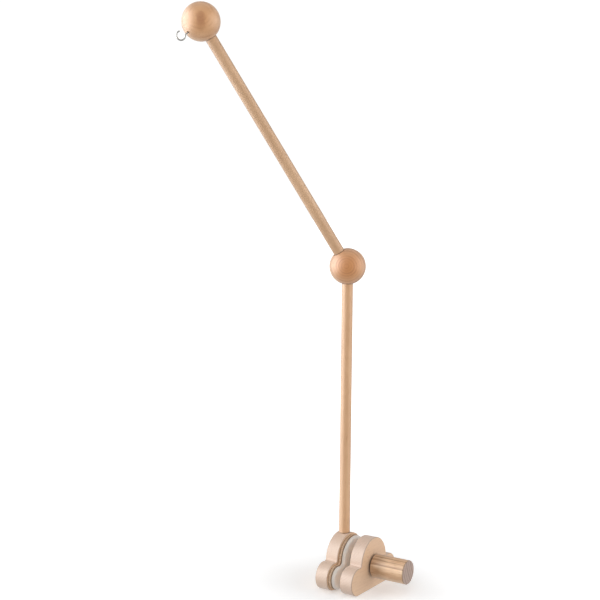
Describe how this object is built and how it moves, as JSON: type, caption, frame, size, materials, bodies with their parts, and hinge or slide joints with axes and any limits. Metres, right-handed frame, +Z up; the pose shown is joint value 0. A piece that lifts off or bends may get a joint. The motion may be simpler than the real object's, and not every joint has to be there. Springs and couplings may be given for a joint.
{
  "type": "cot mobile holder",
  "caption": "Wooden cot mobile holder: cloud-shaped rail clamp with a turned screw handle, an upright rod, an elbow ball, and a slanting arm with an end ball and a steel hook.",
  "frame": {"origin": "on the fixed jaw's flat underside, below the upright rod's axis", "axes": "+X from the fixed jaw to the moving jaw and its handle, along the screw; +Y along the rail that the jaws grip; +Z up, along the upright rod"},
  "size_m": [0.1897, 0.2066, 0.6085],
  "materials": {
    "beech": "sanded, clear matt oil",
    "beech_handle": "sanded, clear matt oil",
    "cork": "raw granulated cork",
    "felt": "pressed wool felt",
    "steel": "zinc plated"
  },
  "bodies": {
    "root": {"fixed_jaw": "beech", "jaw_cork": "cork", "jaw_felt": "felt", "clamp_bolt": "steel", "mast_rod": "beech", "elbow_ball": "beech", "arm_rod": "beech", "end_ball": "beech", "toy_hook": "steel"},
    "jaw": {"moving_jaw": "beech"},
    "handle": {"turn_handle": "beech_handle"}
  },
  "joints": [
    {"name": "jaw_slide", "type": "slide", "parent": "root", "child": "jaw", "axis": [1, 0, 0], "range_m": [-0.0077, 0.016]},
    {"name": "handle_turn", "type": "hinge", "parent": "jaw", "child": "handle", "pos_m": [0.0381, 0, 0.0245], "axis": [1, 0, 0], "range_deg": [-2220, 4610]}
  ],
  "couplings": [
    {"joint": "handle_turn", "follows": "jaw_slide", "rad_per_m": 5026.5}
  ]
}
